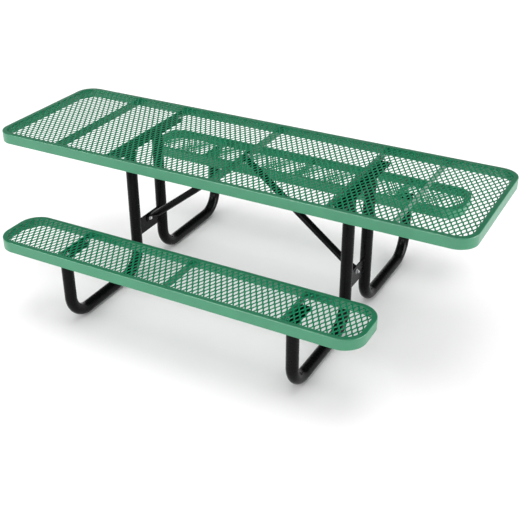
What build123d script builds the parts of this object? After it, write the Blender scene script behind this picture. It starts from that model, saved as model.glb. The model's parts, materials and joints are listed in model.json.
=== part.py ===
from build123d import *
import os

# Picnic table with a coated expanded-metal top and two benches on two bent tube frames.
# Millimetres, +Z up, +X along the table. The origin is on the ground under the table's centre.

# Panels: the top and the two benches share one construction.
top_length, top_width, top_height = 2438, 752, 762
top_corner = 89
bench_length, bench_width, bench_height = 1842, 289, 429
bench_corner = 100
bench_centre_y = 637

rim_depth = 51
rim_wall = 4
rim_flange = 22
rim_round = 4
sheet_thick = 4
sheet_gap = 1

# Cross-members: flat bars on edge under each sheet.
web_thick = 4
web_depth = 40
end_web_x = 870

# Leg frames: U-bent tubes, one near and one far in each frame.
frame_x = 590
tube_od, tube_wall = 57, 4
bend_radius = 114
inner_upright_y, outer_upright_y = 119, 673

# Angle irons between the frames and the cross-members.
angle_leg, angle_thick = 51, 5
angle_inner_x = 562
top_angle_base = 695
top_angle_half = 324
seat_angle_base = 363
seat_angle_y = (531, 711)
frame_web_x = angle_inner_x + angle_thick + web_thick / 2

# Tie plate between the inner uprights, and the brace that bolts to it.
tie_thick = 6
tie_z = (199, 290)
brace_od, brace_wall = 35, 2.5
brace_tab, brace_tab_width = 5, 50
brace_taper = 70
brace_foot = (frame_x - tie_thick / 2 - brace_tab / 2, 261)
brace_head = (web_thick / 2 + brace_tab / 2, 719)
brace_foot_bolt_z, brace_head_bolt_z = 263, 738
brace_foot_tab_top = 277
brace_head_tab_top = 750

# Fasteners: 3/8 inch hex bolts with a washer under the head and under the nut.
bolt_diameter, bolt_hole = 9.5, 10.5
hex_across_flats = 14.3
head_height, nut_height = 6.4, 8.4
washer_diameter, washer_thick = 22, 2
bolt_spare = 4
top_bolt_y, top_bolt_z = 290, 728
seat_bolt_y, seat_bolt_z = (547, 695), 396

SIDES = {"left": -1, "right": 1}
ROWS = {"near": -1, "far": 1}
PANELS = {
    "top": (top_length, top_width, top_corner, top_height, 0),
    "near_bench": (bench_length, bench_width, bench_corner, bench_height, -bench_centre_y),
    "far_bench": (bench_length, bench_width, bench_corner, bench_height, bench_centre_y),
}

os.makedirs("parts", exist_ok=True)


def across(x, y, z, side):
    """A plane facing outward along X from the given point, with its own x along Y."""
    return Plane(origin=(x, y, z), x_dir=(0, 1, 0), z_dir=(side, 0, 0))


# Rims: a deep outer skirt with a narrow flange turned inward along its top.
def full_rim(length, width, corner, height, centre_y):
    base = Plane.XY.offset(height - rim_depth)
    with BuildPart() as rim:
        with BuildSketch(base):
            with Locations((0, centre_y)):
                RectangleRounded(length, width, corner)
        extrude(amount=rim_depth)
        fillet(rim.edges().group_by(Axis.Z)[-1], radius=rim_round)
        with BuildSketch(base):
            with Locations((0, centre_y)):
                RectangleRounded(length - 2 * rim_wall, width - 2 * rim_wall, corner - rim_wall)
        extrude(amount=rim_depth - rim_wall, mode=Mode.SUBTRACT)
        with BuildSketch(base):
            with Locations((0, centre_y)):
                RectangleRounded(length - 2 * rim_flange, width - 2 * rim_flange, corner - rim_flange)
        extrude(amount=rim_depth, mode=Mode.SUBTRACT)
    return rim.part


for panel, (length, width, corner, height, centre_y) in PANELS.items():
    rim = full_rim(length, width, corner, height, centre_y)
    for row, sign in ROWS.items():
        with BuildPart() as rim_side:
            add(rim)
            with Locations((0, centre_y + sign * width / 2, height)):
                Box(length - 2 * corner, width, 3 * rim_depth, mode=Mode.INTERSECT)
        rim_side.part.label = f"{panel}_rim_{row}"
        export_step(rim_side.part, f"parts/{panel}_rim_{row}.step")
    for side, sign in SIDES.items():
        with BuildPart() as rim_end:
            add(rim)
            with Locations((sign * length / 2, centre_y, height)):
                Box(2 * corner, 2 * width, 3 * rim_depth, mode=Mode.INTERSECT)
        rim_end.part.label = f"{panel}_rim_{side}"
        export_step(rim_end.part, f"parts/{panel}_rim_{side}.step")


# Sheets: the expanded metal of each panel, lapped under its rim's flange.
for panel, (length, width, corner, height, centre_y) in PANELS.items():
    inset = rim_wall + sheet_gap
    with BuildPart() as sheet:
        with BuildSketch(Plane.XY.offset(height - rim_wall - sheet_thick)):
            with Locations((0, centre_y)):
                RectangleRounded(length - 2 * inset, width - 2 * inset, corner - inset)
        extrude(amount=sheet_thick)
    sheet.part.label = f"{panel}_sheet"
    export_step(sheet.part, f"parts/{panel}_sheet.step")


# Cross-members: bars on edge from skirt to skirt, bored where an angle iron or brace bolts on.
def cross_member(panel, x, bores):
    length, width, corner, height, centre_y = PANELS[panel]
    underside = height - rim_wall - sheet_thick
    with BuildPart() as web:
        with Locations((x, centre_y, underside - web_depth / 2)):
            Box(web_thick, width - 2 * rim_wall, web_depth)
        for bore_y, bore_z in bores:
            with BuildSketch(across(x, bore_y, bore_z, 1)):
                Circle(bolt_hole / 2)
            extrude(amount=web_thick, both=True, mode=Mode.SUBTRACT)
    return web.part


top_bores = [(-top_bolt_y, top_bolt_z), (top_bolt_y, top_bolt_z)]
top_webs = {"centre": (0, [(0, brace_head_bolt_z)])}
for side, sign in SIDES.items():
    top_webs[f"{side}_frame"] = (sign * frame_web_x, top_bores)
    top_webs[f"{side}_end"] = (sign * end_web_x, [])
for place, (x, bores) in top_webs.items():
    web = cross_member("top", x, bores)
    web.label = f"top_web_{place}"
    export_step(web, f"parts/top_web_{place}.step")

for row, row_sign in ROWS.items():
    seat_bores = [(row_sign * y, seat_bolt_z) for y in seat_bolt_y]
    bench_webs = {"centre": (0, [])}
    for side, sign in SIDES.items():
        bench_webs[side] = (sign * frame_web_x, seat_bores)
    for place, (x, bores) in bench_webs.items():
        web = cross_member(f"{row}_bench", x, bores)
        web.label = f"{row}_bench_web_{place}"
        export_step(web, f"parts/{row}_bench_web_{place}.step")


# Angle irons: the upright leg bolts to a cross-member, the flat leg turns outward below it.
def angle_iron(side, y_from, y_to, base, bores):
    inner = side * angle_inner_x
    heel = side * (angle_inner_x + angle_thick)
    toe = side * (angle_inner_x + angle_leg)
    with BuildPart() as angle:
        with BuildSketch(Plane.XZ.offset(-y_from)):
            with BuildLine():
                Polyline(
                    (inner, base),
                    (toe, base),
                    (toe, base + angle_thick),
                    (heel, base + angle_thick),
                    (heel, base + angle_leg),
                    (inner, base + angle_leg),
                    close=True,
                )
            make_face()
        extrude(amount=y_from - y_to)
        for bore_y, bore_z in bores:
            with BuildSketch(across(inner, bore_y, bore_z, side)):
                Circle(bolt_hole / 2)
            extrude(amount=angle_thick, mode=Mode.SUBTRACT)
    return angle.part


for side, sign in SIDES.items():
    angle = angle_iron(sign, -top_angle_half, top_angle_half, top_angle_base, top_bores)
    angle.label = f"top_angle_{side}"
    export_step(angle, f"parts/top_angle_{side}.step")
    for row, row_sign in ROWS.items():
        y_from, y_to = sorted(row_sign * y for y in seat_angle_y)
        seat_bores = [(row_sign * y, seat_bolt_z) for y in seat_bolt_y]
        angle = angle_iron(sign, y_from, y_to, seat_angle_base, seat_bores)
        angle.label = f"{row}_seat_angle_{side}"
        export_step(angle, f"parts/{row}_seat_angle_{side}.step")


# Leg tubes: down from the top angle, along the ground, and up to the seat angle.
for side, sign in SIDES.items():
    for row, row_sign in ROWS.items():
        inner_y, outer_y = row_sign * inner_upright_y, row_sign * outer_upright_y
        with BuildPart() as leg:
            with BuildLine(Plane.YZ.offset(sign * frame_x)) as bend:
                FilletPolyline(
                    (inner_y, top_angle_base),
                    (inner_y, tube_od / 2),
                    (outer_y, tube_od / 2),
                    (outer_y, seat_angle_base),
                    radius=bend_radius,
                )
            start = Plane(origin=(sign * frame_x, inner_y, top_angle_base), z_dir=(0, 0, -1))
            with BuildSketch(start):
                Circle(tube_od / 2)
                Circle(tube_od / 2 - tube_wall, mode=Mode.SUBTRACT)
            sweep(path=bend.line)
        leg.part.label = f"{row}_leg_{side}"
        export_step(leg.part, f"parts/{row}_leg_{side}.step")


# Tie plates: upright plates between the two inner uprights of a frame.
for side, sign in SIDES.items():
    with BuildPart() as tie:
        with Locations((sign * frame_x, 0, sum(tie_z) / 2)):
            Box(tie_thick, 2 * inner_upright_y - tube_od, tie_z[1] - tie_z[0])
        with BuildSketch(across(sign * frame_x, 0, brace_foot_bolt_z, sign)):
            Circle(bolt_hole / 2)
        extrude(amount=tie_thick, both=True, mode=Mode.SUBTRACT)
    tie.part.label = f"tie_plate_{side}"
    export_step(tie.part, f"parts/tie_plate_{side}.step")


# Braces: straight tubes pressed flat at both ends, each flat turned upright and bolted.
foot = Vector(brace_foot[0], 0, brace_foot[1])
head = Vector(brace_head[0], 0, brace_head[1])
rise = (head - foot).normalized()
span = (head - foot).length
foot_plane = Plane(origin=foot, x_dir=(0, 1, 0), z_dir=rise)
head_plane = Plane(origin=head, x_dir=(0, 1, 0), z_dir=-rise)
foot_flat = Vector(foot.X, 0, brace_foot_tab_top)
with BuildPart() as right_brace:
    with BuildSketch(foot_plane.offset(brace_taper)):
        Circle(brace_od / 2)
        Circle(brace_od / 2 - brace_wall, mode=Mode.SUBTRACT)
    extrude(amount=span - 2 * brace_taper)
    for end, flat in ((foot_plane, foot_flat), (head_plane, head)):
        with BuildSketch(Plane(origin=flat, x_dir=end.x_dir, z_dir=end.z_dir)):
            Ellipse(brace_tab_width / 2, brace_tab / 2)
        with BuildSketch(end.offset(brace_taper)):
            Circle(brace_od / 2)
        loft()
        with BuildSketch(Plane.XZ.offset(-brace_tab_width / 2)):
            with Locations((flat.X, flat.Z)):
                Circle(brace_tab / 2)
        extrude(amount=brace_tab_width)
    with BuildSketch(across(foot.X - brace_tab / 2, 0, 0, 1)):
        with Locations((0, (brace_foot_tab_top + brace_foot_bolt_z) / 2)):
            Rectangle(brace_tab_width, brace_foot_tab_top - brace_foot_bolt_z)
        with Locations((0, brace_foot_bolt_z)):
            Circle(brace_tab_width / 2)
            Circle(bolt_hole / 2, mode=Mode.SUBTRACT)
    extrude(amount=brace_tab)
    with BuildSketch(across(head.X - brace_tab / 2, 0, 0, 1)):
        with Locations((0, (head.Z + brace_head_tab_top) / 2)):
            Rectangle(brace_tab_width, brace_head_tab_top - head.Z)
        with Locations((0, brace_head_bolt_z)):
            Circle(bolt_hole / 2, mode=Mode.SUBTRACT)
    extrude(amount=brace_tab)
right_brace.part.label = "brace_right"
export_step(right_brace.part, "parts/brace_right.step")

with BuildPart() as left_brace:
    mirror(right_brace.part, about=Plane.YZ)
left_brace.part.label = "brace_left"
export_step(left_brace.part, "parts/brace_left.step")


# Fasteners: each entry is where the clamped stack starts, which way it runs and how thick it is.
frame_grip = angle_thick + web_thick
tie_grip = brace_tab + tie_thick
centre_grip = web_thick + 2 * brace_tab
bolt_places = []
for sign in SIDES.values():
    web_face = sign * (frame_web_x + web_thick / 2 - frame_grip)
    for row_sign in ROWS.values():
        bolt_places.append((web_face, row_sign * top_bolt_y, top_bolt_z, sign, frame_grip))
        for y in seat_bolt_y:
            bolt_places.append((web_face, row_sign * y, seat_bolt_z, sign, frame_grip))
    tab_face = sign * (frame_x - tie_thick / 2 - brace_tab)
    bolt_places.append((tab_face, 0, brace_foot_bolt_z, sign, tie_grip))
centre_place = (-centre_grip / 2, 0, brace_head_bolt_z, 1, centre_grip)


def hexagon():
    RegularPolygon(hex_across_flats / 2, 6, major_radius=False)


def bolt_set(places):
    with BuildPart() as bolts:
        for x, y, z, sign, grip in places:
            seat = across(x, y, z, sign).offset(-washer_thick)
            with BuildSketch(seat):
                hexagon()
            extrude(amount=-head_height)
            with BuildSketch(seat):
                Circle(bolt_diameter / 2)
            extrude(amount=2 * washer_thick + grip + nut_height + bolt_spare)
    return bolts.part


bolts = bolt_set(bolt_places)
bolts.label = "hex_bolts"
export_step(bolts, "parts/hex_bolts.step")

centre_bolt = bolt_set([centre_place])
centre_bolt.label = "brace_head_bolt"
export_step(centre_bolt, "parts/brace_head_bolt.step")

with BuildPart() as nuts:
    for x, y, z, sign, grip in bolt_places + [centre_place]:
        with BuildSketch(across(x, y, z, sign).offset(grip + washer_thick)):
            hexagon()
            Circle(bolt_diameter / 2, mode=Mode.SUBTRACT)
        extrude(amount=nut_height)
nuts.part.label = "hex_nuts"
export_step(nuts.part, "parts/hex_nuts.step")

with BuildPart() as washers:
    for x, y, z, sign, grip in bolt_places + [centre_place]:
        for start in (-washer_thick, grip):
            with BuildSketch(across(x, y, z, sign).offset(start)):
                Circle(washer_diameter / 2)
                Circle(bolt_diameter / 2, mode=Mode.SUBTRACT)
            extrude(amount=washer_thick)
washers.part.label = "washers"
export_step(washers.part, "parts/washers.step")
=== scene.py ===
import json
import math

import bmesh
import bpy
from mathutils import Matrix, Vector


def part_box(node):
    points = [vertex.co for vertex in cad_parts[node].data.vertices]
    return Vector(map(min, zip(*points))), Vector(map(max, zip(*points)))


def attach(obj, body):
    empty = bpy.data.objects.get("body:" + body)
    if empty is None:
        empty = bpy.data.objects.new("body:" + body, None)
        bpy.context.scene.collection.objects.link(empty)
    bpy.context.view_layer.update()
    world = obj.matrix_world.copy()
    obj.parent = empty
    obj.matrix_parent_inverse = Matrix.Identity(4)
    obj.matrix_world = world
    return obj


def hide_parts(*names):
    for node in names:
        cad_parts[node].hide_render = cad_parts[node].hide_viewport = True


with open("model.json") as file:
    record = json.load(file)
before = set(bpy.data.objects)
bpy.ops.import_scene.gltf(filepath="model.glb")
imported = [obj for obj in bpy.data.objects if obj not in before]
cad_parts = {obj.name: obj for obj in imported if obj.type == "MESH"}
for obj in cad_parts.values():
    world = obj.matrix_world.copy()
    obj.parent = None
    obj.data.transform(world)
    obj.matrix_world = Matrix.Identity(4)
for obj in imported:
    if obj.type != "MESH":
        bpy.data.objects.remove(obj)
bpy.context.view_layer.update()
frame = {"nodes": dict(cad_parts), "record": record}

# Lengths are in metres, powers in watts, and angles in radians unless the name says degrees.

# Expanded metal: a diamond lattice, its short way along X and its long way along Y.
# Strands meet at the bonds, where each one runs straight for a moment beside its neighbour.
SHORT_WAY = 0.0285
LONG_WAY = 0.049
STRAND_WIDTH = 0.0076
STRAND_THICK = 0.0024
STRAND_EDGE = STRAND_THICK / 3
SHORTEST_STRAND = 0.002
BOND_HALF = 0.004
BOND_SIDE = STRAND_WIDTH * 0.4
OUTLINE_HALVINGS = 10
SHEET_CORNERS = {"top": 0.084, "near_bench": 0.095, "far_bench": 0.095}

# Steel pieces: how far their cut edges are rounded, and what counts as an edge.
HARDWARE_EASE = 0.0006
PLATE_EASE = 0.001
SHARP_ANGLE = math.radians(40)
FLAT_ANGLE = math.radians(2)
SAME_POINT = 1e-5

# Weld beads: each ripple has a height (as a share of the radius), a pace and a start.
WELD_RADIUS = 0.0035
WELD_STEP = 0.002
WELD_SIDES = 10
WELD_RIPPLES = [(0.16, 2.1, 0), (0.06, 0.9, 1)]
WELD_END = 0.3
WELD_TAPER = 8

# Materials: noise textures stay mostly between these two values.
NOISE_LOW, NOISE_HIGH = 0.3, 0.7

# Studio: the floor, the sky's fade from the horizon upwards, and the lights.
FLOOR_SIZE = 60
FLOOR_DROP = 0.0005
SKY_FADE = (0.2, 0.36)
HORIZON_STRENGTH, OVERHEAD_STRENGTH = 0.95, 0.06
TABLE_MIDDLE = (0, 0, 0.6)
FRONT_LEFT = (-3.8, -6.3, 4.0)
OVERHEAD = (0, 0, 5)
SUN_SPREAD = math.radians(35)
SUN_STRENGTH = 1.15

# Camera: at the photograph's viewing angle.
LENS_MM = 64.03
SENSOR_MM = 36.0
CAMERA_PLACE = (1.979, -3.5375, 2.496)
CAMERA_DEGREES = (60.07, 0.12, 28.24)


# Materials
def new_material(name):
    material = bpy.data.materials.new(name)
    material.use_nodes = True
    tree = material.node_tree
    return material, tree, tree.nodes["Principled BSDF"]


def noise_texture(tree, scale, detail, roughness=0.5):
    coordinates = tree.nodes.new("ShaderNodeTexCoord")
    noise = tree.nodes.new("ShaderNodeTexNoise")
    noise.inputs["Scale"].default_value = scale
    noise.inputs["Detail"].default_value = detail
    noise.inputs["Roughness"].default_value = roughness
    tree.links.new(coordinates.outputs["Object"], noise.inputs["Vector"])
    return noise.outputs["Fac"]


def blend_shades(tree, noise, dark, light):
    """A colour that goes from dark to light as the noise rises."""
    node = tree.nodes.new("ShaderNodeValToRGB")
    first, last = node.color_ramp.elements
    first.position, first.color = NOISE_LOW, (*dark, 1)
    last.position, last.color = NOISE_HIGH, (*light, 1)
    tree.links.new(noise, node.inputs["Fac"])
    return node.outputs["Color"]


def blend_values(tree, noise, low, high):
    """A value that goes from low to high as the noise rises."""
    node = tree.nodes.new("ShaderNodeMapRange")
    node.inputs["From Min"].default_value = NOISE_LOW
    node.inputs["From Max"].default_value = NOISE_HIGH
    node.inputs["To Min"].default_value = low
    node.inputs["To Max"].default_value = high
    tree.links.new(noise, node.inputs["Value"])
    return node.outputs["Result"]


def bump(tree, height, distance, below):
    """The surface's normal with a layer of bumps on it, over the layer below if there is one."""
    node = tree.nodes.new("ShaderNodeBump")
    node.inputs["Distance"].default_value = distance
    tree.links.new(height, node.inputs["Height"])
    if below is not None:
        tree.links.new(below, node.inputs["Normal"])
    return node.outputs["Normal"]


def finish(name, tone_scale, shades, sheen_scale, roughness, bumps):
    """A material with blotches of two shades, an uneven sheen and layers of fine bumps."""
    material, tree, shader = new_material(name)
    tone = noise_texture(tree, tone_scale, detail=4.0, roughness=0.6)
    tree.links.new(blend_shades(tree, tone, *shades), shader.inputs["Base Color"])
    sheen = noise_texture(tree, sheen_scale, detail=3.0)
    tree.links.new(blend_values(tree, sheen, *roughness), shader.inputs["Roughness"])
    normal = None
    for scale, distance in bumps:
        normal = bump(tree, noise_texture(tree, scale, detail=2.0), distance, below=normal)
    tree.links.new(normal, shader.inputs["Normal"])
    return material, shader


def coated_green(name, dark, light, gloss):
    """Thick thermoplastic coating: satin, faintly uneven in colour, with a soft orange peel."""
    material, shader = finish(
        name,
        tone_scale=9.0,
        shades=(dark, light),
        sheen_scale=60.0,
        roughness=(0.28, 0.36),
        bumps=[(55.0, 0.0002), (320.0, 0.00005)],
    )
    shader.inputs["Specular IOR Level"].default_value = gloss
    return material


def powder_black():
    """Black powder coat: low sheen with a fine, even texture."""
    material, shader = finish(
        "powder_coat_black",
        tone_scale=14.0,
        shades=((0.0012, 0.0012, 0.0014), (0.0024, 0.0024, 0.0026)),
        sheen_scale=90.0,
        roughness=(0.2, 0.3),
        bumps=[(70.0, 0.0002), (900.0, 0.00008)],
    )
    shader.inputs["Specular IOR Level"].default_value = 0.1
    return material


def bright_zinc():
    """Zinc-plated steel: bright metal with faint blotches and a fine grain."""
    material, shader = finish(
        "zinc_plated",
        tone_scale=180.0,
        shades=((0.55, 0.56, 0.58), (0.78, 0.79, 0.8)),
        sheen_scale=500.0,
        roughness=(0.35, 0.5),
        bumps=[(1500.0, 0.00005)],
    )
    shader.inputs["Metallic"].default_value = 1.0
    return material


GREEN = coated_green("coated_green", (0.006, 0.15, 0.068), (0.009, 0.175, 0.079), 0.95)
# The mesh carries the same coating as the frame. Its shades are painted brighter and more saturated
# than the frame's green, as painted light standing in for the lit strands.
PAINTED_BRIGHT_MESH_GREEN = coated_green("coated_green_mesh_painted_bright", (0.0015, 0.185, 0.082), (0.0025, 0.21, 0.092), 0.2)
BLACK = powder_black()
ZINC = bright_zinc()

SLOT_MATERIALS = {
    "green_coating": GREEN,
    "coated_mesh": PAINTED_BRIGHT_MESH_GREEN,
    "black_frame": BLACK,
    "zinc_hardware": ZINC,
}
SLOT_OF = {subpart["node"]: subpart["material_slot"] for subpart in frame["record"]["subparts"]}
for node, slot in SLOT_OF.items():
    frame["nodes"][node].data.materials.clear()
    frame["nodes"][node].data.materials.append(SLOT_MATERIALS[slot])


# Pieces
def new_piece(name, mesh, material):
    """An object made of the finished mesh, which is used up."""
    data = bpy.data.meshes.new(name)
    mesh.to_mesh(data)
    mesh.free()
    data.materials.append(material)
    piece = bpy.data.objects.new(name, data)
    bpy.context.scene.collection.objects.link(piece)
    return piece


def skin(mesh, rings):
    """Close a row of point rings into a tube with flat ends."""
    sides = len(rings[0])
    for first, second in zip(rings, rings[1:]):
        for k in range(sides):
            after = (k + 1) % sides
            mesh.faces.new((first[k], first[after], second[after], second[k]))
    mesh.faces.new(rings[0][::-1])
    mesh.faces.new(rings[-1])


# Expanded metal
def inside_panel(point, low, high, corner):
    """True if the point lies within the panel's rounded outline."""
    half_x, half_y = (high.x - low.x) / 2, (high.y - low.y) / 2
    beyond_x = abs(point.x - (low.x + high.x) / 2) - (half_x - corner)
    beyond_y = abs(point.y - (low.y + high.y) / 2) - (half_y - corner)
    if beyond_x > 0 and beyond_y > 0:
        return math.hypot(beyond_x, beyond_y) < corner
    return beyond_x < corner and beyond_y < corner


def crossing(inner, outer, inside):
    """Where the line from an inner to an outer point leaves the outline."""
    near, far = 0.0, 1.0
    for _ in range(OUTLINE_HALVINGS):
        middle = (near + far) / 2
        if inside(inner.lerp(outer, middle)):
            near = middle
        else:
            far = middle
    return inner.lerp(outer, near)


def clip_path(points, inside):
    """The stretches of a path that lie inside the outline."""
    stretches, stretch = [], []
    for start, end in zip(points, points[1:]):
        starts_in, ends_in = inside(start), inside(end)
        if starts_in and not stretch:
            stretch = [start]
        if starts_in and ends_in:
            stretch.append(end)
        elif starts_in:
            stretches.append(stretch + [crossing(start, end, inside)])
            stretch = []
        elif ends_in:
            stretch = [crossing(end, start, inside), end]
    if stretch:
        stretches.append(stretch)
    return [kept for kept in stretches if (kept[-1] - kept[0]).length > SHORTEST_STRAND]


def strand_section():
    """Points round a strand's section: flat above and below, with bevelled edges."""
    edge = STRAND_WIDTH / 2
    flat = edge - STRAND_EDGE
    half = STRAND_THICK / 2
    return [(-flat, half), (-edge, 0), (-flat, -half), (flat, -half), (edge, 0), (flat, half)]


def add_strand(mesh, path, section):
    """A strand through the path's points. Its section stays square to X, the short way."""
    rings = []
    for point in path:
        rings.append([mesh.verts.new(point + Vector((dx, 0, dz))) for dx, dz in section])
    skin(mesh, rings)


def expanded_metal(panel):
    """A panel's lattice, in place of its plain CAD sheet."""
    low, high = (Vector(corner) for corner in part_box(f"{panel}_sheet"))
    corner = SHEET_CORNERS[panel]
    centre = (low + high) / 2
    section = strand_section()

    def inside(point):
        return inside_panel(point, low, high, corner)

    mesh = bmesh.new()
    columns = int((high.x - low.x) / SHORT_WAY) + 2
    rows = int((high.y - low.y) / LONG_WAY) + 2
    for column in range(-columns, columns + 1):
        # One strand zigzags between two columns of bonds, along the long way.
        path = []
        for row in range(-rows, rows + 1):
            at_left = (column + row) % 2 == 0
            bond_column = column if at_left else column + 1
            side = BOND_SIDE if at_left else -BOND_SIDE
            bond = centre + Vector((bond_column * SHORT_WAY / 2 + side, row * LONG_WAY / 2, 0))
            path += [bond - Vector((0, BOND_HALF, 0)), bond + Vector((0, BOND_HALF, 0))]
        for stretch in clip_path(path, inside):
            add_strand(mesh, stretch, section)
    bmesh.ops.recalc_face_normals(mesh, faces=mesh.faces)
    piece = new_piece(f"{panel}_expanded_metal", mesh, PAINTED_BRIGHT_MESH_GREEN)
    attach(piece, "root")
    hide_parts(f"{panel}_sheet")


for panel in SHEET_CORNERS:
    expanded_metal(panel)


# Steel pieces: the CAD nodes' own shapes, smoothly shaded, the cut edges eased
def soften(node, radius):
    """A copy of a CAD node, standing for it: curves shaded smooth, sharp edges rounded."""
    source = frame["nodes"][node]
    mesh = bmesh.new()
    mesh.from_mesh(source.data)
    bmesh.ops.remove_doubles(mesh, verts=mesh.verts, dist=SAME_POINT)
    bmesh.ops.dissolve_limit(mesh, angle_limit=FLAT_ANGLE, verts=mesh.verts, edges=mesh.edges)
    sharp = [e for e in mesh.edges if len(e.link_faces) == 2 and e.calc_face_angle() > SHARP_ANGLE]
    if radius:
        bmesh.ops.bevel(
            mesh, geom=sharp, offset=radius, segments=2, profile=0.5, affect="EDGES", clamp_overlap=True
        )
    bmesh.ops.triangulate(mesh, faces=mesh.faces)
    for face in mesh.faces:
        face.smooth = True
    for edge in mesh.edges:
        edge.smooth = len(edge.link_faces) == 2 and edge.calc_face_angle() < SHARP_ANGLE
    piece = new_piece(f"{node}_eased", mesh, source.data.materials[0])
    piece.modifiers.new("even_normals", "WEIGHTED_NORMAL").keep_sharp = True
    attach(piece, "root")
    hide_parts(node)


for node in SLOT_OF:
    if SLOT_OF[node] == "zinc_hardware":
        soften(node, HARDWARE_EASE)
    elif "_web_" in node or "_angle_" in node or node.startswith("tie_plate"):
        soften(node, PLATE_EASE)
    elif not node.endswith("_sheet"):
        soften(node, 0)


# Welds
def weld_bead(name, foot, head):
    """A rippled fillet of weld metal between two points, under the black coating."""
    line = head - foot
    along = line.normalized()
    out = along.orthogonal().normalized()
    side = along.cross(out)
    steps = int(line.length / WELD_STEP)
    mesh = bmesh.new()
    rings = []
    for step in range(steps + 1):
        share = step / steps
        swell = 1 + sum(height * math.sin(step * pace + start) for height, pace, start in WELD_RIPPLES)
        taper = min(1, WELD_TAPER * share + WELD_END, WELD_TAPER * (1 - share) + WELD_END)
        radius = WELD_RADIUS * swell * taper
        ring = []
        for k in range(WELD_SIDES):
            angle = 2 * math.pi * k / WELD_SIDES
            outwards = out * math.cos(angle) + side * math.sin(angle)
            ring.append(mesh.verts.new(foot + line * share + outwards * radius))
        rings.append(ring)
    skin(mesh, rings)
    bmesh.ops.recalc_face_normals(mesh, faces=mesh.faces)
    for face in mesh.faces:
        face.smooth = True
    piece = new_piece(name, mesh, BLACK)
    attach(piece, "root")


for end in ("left", "right"):
    low, high = (Vector(corner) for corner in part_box(f"tie_plate_{end}"))
    for i, x in enumerate((low.x, high.x)):
        for j, y in enumerate((low.y, high.y)):
            foot = Vector((x, y, low.z + WELD_RADIUS))
            weld_bead(f"tie_weld_{end}_{i}{j}", foot, Vector((x, y, high.z - WELD_RADIUS)))


# Floor
def floor():
    bpy.ops.mesh.primitive_plane_add(size=FLOOR_SIZE, location=(0, 0, -FLOOR_DROP))
    plane = bpy.context.object
    plane.name = "floor"
    material, _, shader = new_material("pale_floor")
    shader.inputs["Base Color"].default_value = (0.9, 0.885, 0.893, 1)
    shader.inputs["Roughness"].default_value = 0.9
    shader.inputs["Specular IOR Level"].default_value = 0.1
    plane.data.materials.append(material)
    return plane


FLOOR = floor()


# Lights
def sky():
    """A white sky: bright at the horizon, dim overhead."""
    world = bpy.data.worlds.new("studio")
    bpy.context.scene.world = world
    world.use_nodes = True
    nodes, links = world.node_tree.nodes, world.node_tree.links
    background = nodes["Background"]
    background.inputs["Color"].default_value = (1, 1, 1, 1)
    direction = nodes.new("ShaderNodeTexCoord")
    parts = nodes.new("ShaderNodeSeparateXYZ")
    fade = nodes.new("ShaderNodeMapRange")
    fade.interpolation_type = "SMOOTHSTEP"
    fade.inputs["From Min"].default_value = SKY_FADE[0]
    fade.inputs["From Max"].default_value = SKY_FADE[1]
    fade.inputs["To Min"].default_value = HORIZON_STRENGTH
    fade.inputs["To Max"].default_value = OVERHEAD_STRENGTH
    links.new(direction.outputs["Generated"], parts.inputs["Vector"])
    links.new(parts.outputs["Z"], fade.inputs["Value"])
    links.new(fade.outputs["Result"], background.inputs["Strength"])


def soft_light(name, place, size, power, target=TABLE_MIDDLE):
    """A rectangular area light that points at the target and isn't seen itself."""
    lamp = bpy.data.lights.new(name, "AREA")
    lamp.shape = "RECTANGLE"
    lamp.size, lamp.size_y = size
    lamp.energy = power
    light = bpy.data.objects.new(name, lamp)
    light.location = place
    light.rotation_euler = (Vector(target) - Vector(place)).to_track_quat("-Z", "Y").to_euler()
    light.visible_camera = False
    bpy.context.scene.collection.objects.link(light)
    return light


def wide_sun(name, spread, strength):
    """A very soft sun that shines straight down."""
    lamp = bpy.data.lights.new(name, "SUN")
    lamp.angle = spread
    lamp.energy = strength
    light = bpy.data.objects.new(name, lamp)
    bpy.context.scene.collection.objects.link(light)
    return light


def light_only(lights, receivers):
    for light in lights:
        light.light_linking.receiver_collection = receivers


def lights():
    """One light reaches everything. The others light either the table or the floor,
    so the shadows under the table stay soft."""
    soft_light("front_left", FRONT_LEFT, size=(6, 3.5), power=130)
    table_lights = [
        soft_light("right", (7.5, 1.0, 1.5), size=(6, 2.6), power=560),
        soft_light("rim_strip", FRONT_LEFT, size=(6, 0.5), power=400),
        soft_light("front_low", (0.5, -6.5, 0.45), size=(7, 0.8), power=130, target=(0, 0, 0.7)),
        soft_light("top", OVERHEAD, size=(5, 5), power=130),
    ]
    floor_lights = [
        soft_light("floor_dome", OVERHEAD, size=(FLOOR_SIZE, FLOOR_SIZE), power=9200),
        wide_sun("floor_sun", SUN_SPREAD, SUN_STRENGTH),
    ]
    all_but_floor = bpy.data.collections.new("all_but_floor")
    all_but_floor.objects.link(FLOOR)
    all_but_floor.collection_objects[0].light_linking.link_state = "EXCLUDE"
    only_floor = bpy.data.collections.new("only_floor")
    only_floor.objects.link(FLOOR)
    light_only(table_lights, all_but_floor)
    light_only(floor_lights, only_floor)


sky()
lights()


# Camera
def camera():
    data = bpy.data.cameras.new("camera")
    data.lens = LENS_MM
    data.sensor_width = SENSOR_MM
    view = bpy.data.objects.new("camera", data)
    view.location = CAMERA_PLACE
    view.rotation_euler = [math.radians(angle) for angle in CAMERA_DEGREES]
    bpy.context.scene.collection.objects.link(view)
    bpy.context.scene.camera = view


camera()
bpy.context.scene.view_settings.view_transform = "Standard"
